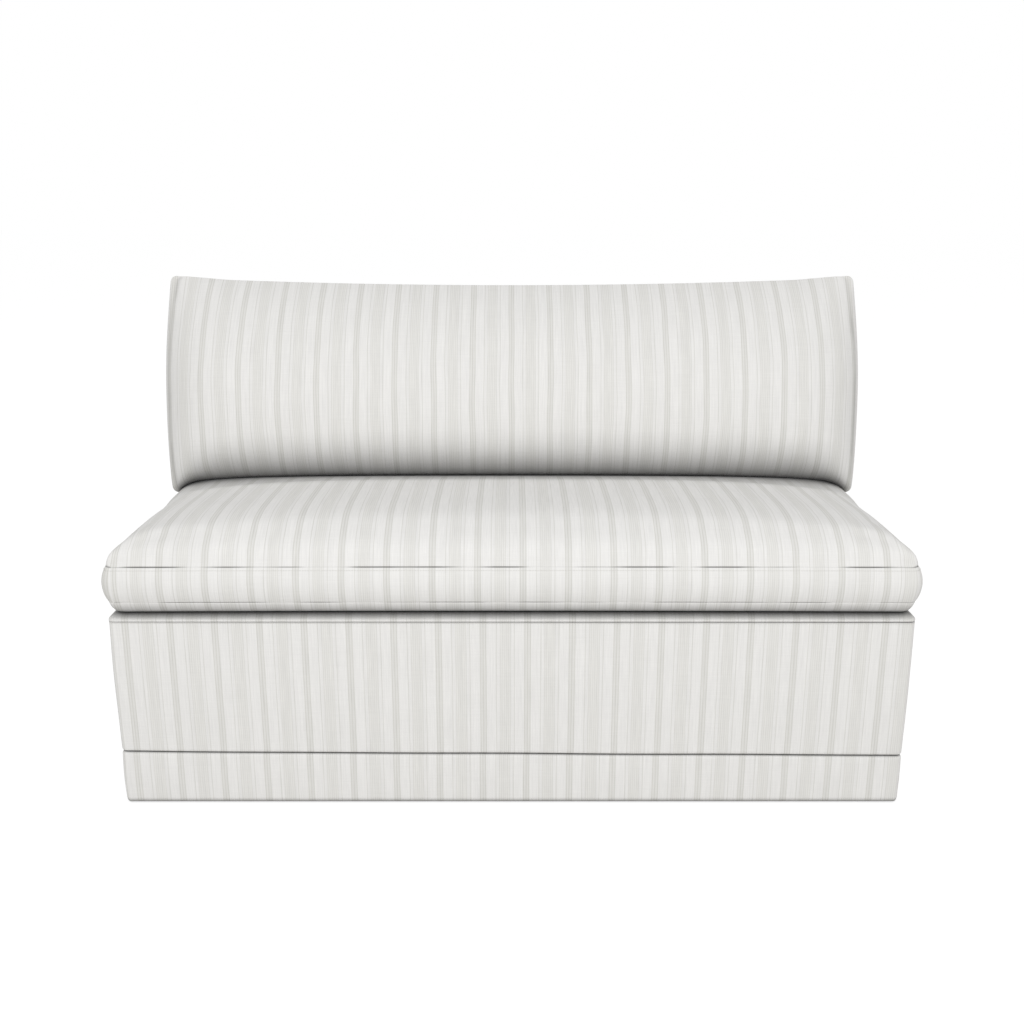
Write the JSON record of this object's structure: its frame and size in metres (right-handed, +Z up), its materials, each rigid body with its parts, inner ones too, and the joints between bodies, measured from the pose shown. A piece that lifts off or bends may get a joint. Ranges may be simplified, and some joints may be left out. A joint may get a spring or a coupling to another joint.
{
  "type": "armless banquette",
  "caption": "Armless upholstered banquette with a covered plinth, box base, raked back, loose crowned bench cushion and loose eared back cushion in ticking-striped linen.",
  "frame": {"origin": "on the floor, under the middle of the whole piece", "axes": "+Z up, -Y towards the sitter's front, X along the width"},
  "size_m": [1.4078, 0.6934, 0.885],
  "materials": {
    "striped_linen": "matte",
    "timber": "matte",
    "beech_dowel": "matte",
    "zinc_steel": "satin",
    "spring_steel": "satin",
    "glide_plastic": "matte",
    "dust_cloth": "matte",
    "felt": "matte",
    "foam": "matte",
    "wadding": "matte",
    "webbing": "matte",
    "fibreboard": "matte",
    "fibre": "matte",
    "zip_tape": "matte",
    "zip_metal": "satin"
  },
  "bodies": {
    "frame": {"back_inside_cover": "striped_linen", "back_left_cover": "striped_linen", "back_outer_board": "fibreboard", "back_outer_wadding": "wadding", "back_outside_cover": "striped_linen", "back_pad": "foam", "back_post_centre": "timber", "back_post_left": "timber", "back_post_right": "timber", "back_right_cover": "striped_linen", "back_side_wadding": "wadding", "back_top_rail": "timber", "base_block_set": "timber", "base_front_cover": "striped_linen", "base_front_rail": "timber", "base_left_cover": "striped_linen", "base_left_rail": "timber", "base_rear_rail": "timber", "base_right_cover": "striped_linen", "base_right_rail": "timber", "base_wadding": "wadding", "cross_rails": "timber", "deck_cover": "striped_linen", "deck_felt": "felt", "deck_foam": "foam", "dust_cover": "dust_cloth", "edge_rolls": "wadding", "floor_glides": "glide_plastic", "frame_dowels": "beech_dowel", "joining_plates": "zinc_steel", "lag_screws": "zinc_steel", "level_webbing": "webbing", "lower_back_rails": "timber", "plate_screws": "zinc_steel", "plinth_block_set": "timber", "plinth_centre_board": "timber", "plinth_front_board": "timber", "plinth_front_cover": "striped_linen", "plinth_left_board": "timber", "plinth_left_cover": "striped_linen", "plinth_rear_board": "timber", "plinth_rear_cover": "striped_linen", "plinth_right_board": "timber", "plinth_right_cover": "striped_linen", "plinth_wadding": "wadding", "seat_springs": "spring_steel", "spring_clips": "spring_steel", "spring_rail": "timber", "tie_wires": "spring_steel", "upright_webbing": "webbing"},
    "seat_cushion": {"seat_cushion_cover": "striped_linen", "seat_cushion_wrap": "fibre", "seat_cushion_core": "foam", "seat_zip": "zip_tape"},
    "back_cushion": {"back_cushion_cover": "striped_linen", "back_cushion_fill": "fibre", "back_zip": "zip_tape"},
    "seat_zip_slider": {"seat_zip_slider": "zip_metal"},
    "back_zip_slider": {"back_zip_slider": "zip_metal"}
  },
  "joints": [
    {"name": "seat_cushion_slide", "type": "slide", "parent": "frame", "child": "seat_cushion", "axis": [0, -1, 0], "range_m": [0, 0.6]},
    {"name": "back_cushion_lift", "type": "slide", "parent": "frame", "child": "back_cushion", "axis": [0, 0.2164, 0.9763], "range_m": [0, 0.45]},
    {"name": "seat_zip_run", "type": "slide", "parent": "seat_cushion", "child": "seat_zip_slider", "axis": [-1, 0, 0], "range_m": [0, 0.84]},
    {"name": "back_zip_run", "type": "slide", "parent": "back_cushion", "child": "back_zip_slider", "axis": [-1, 0, 0], "range_m": [0, 0.84]}
  ]
}
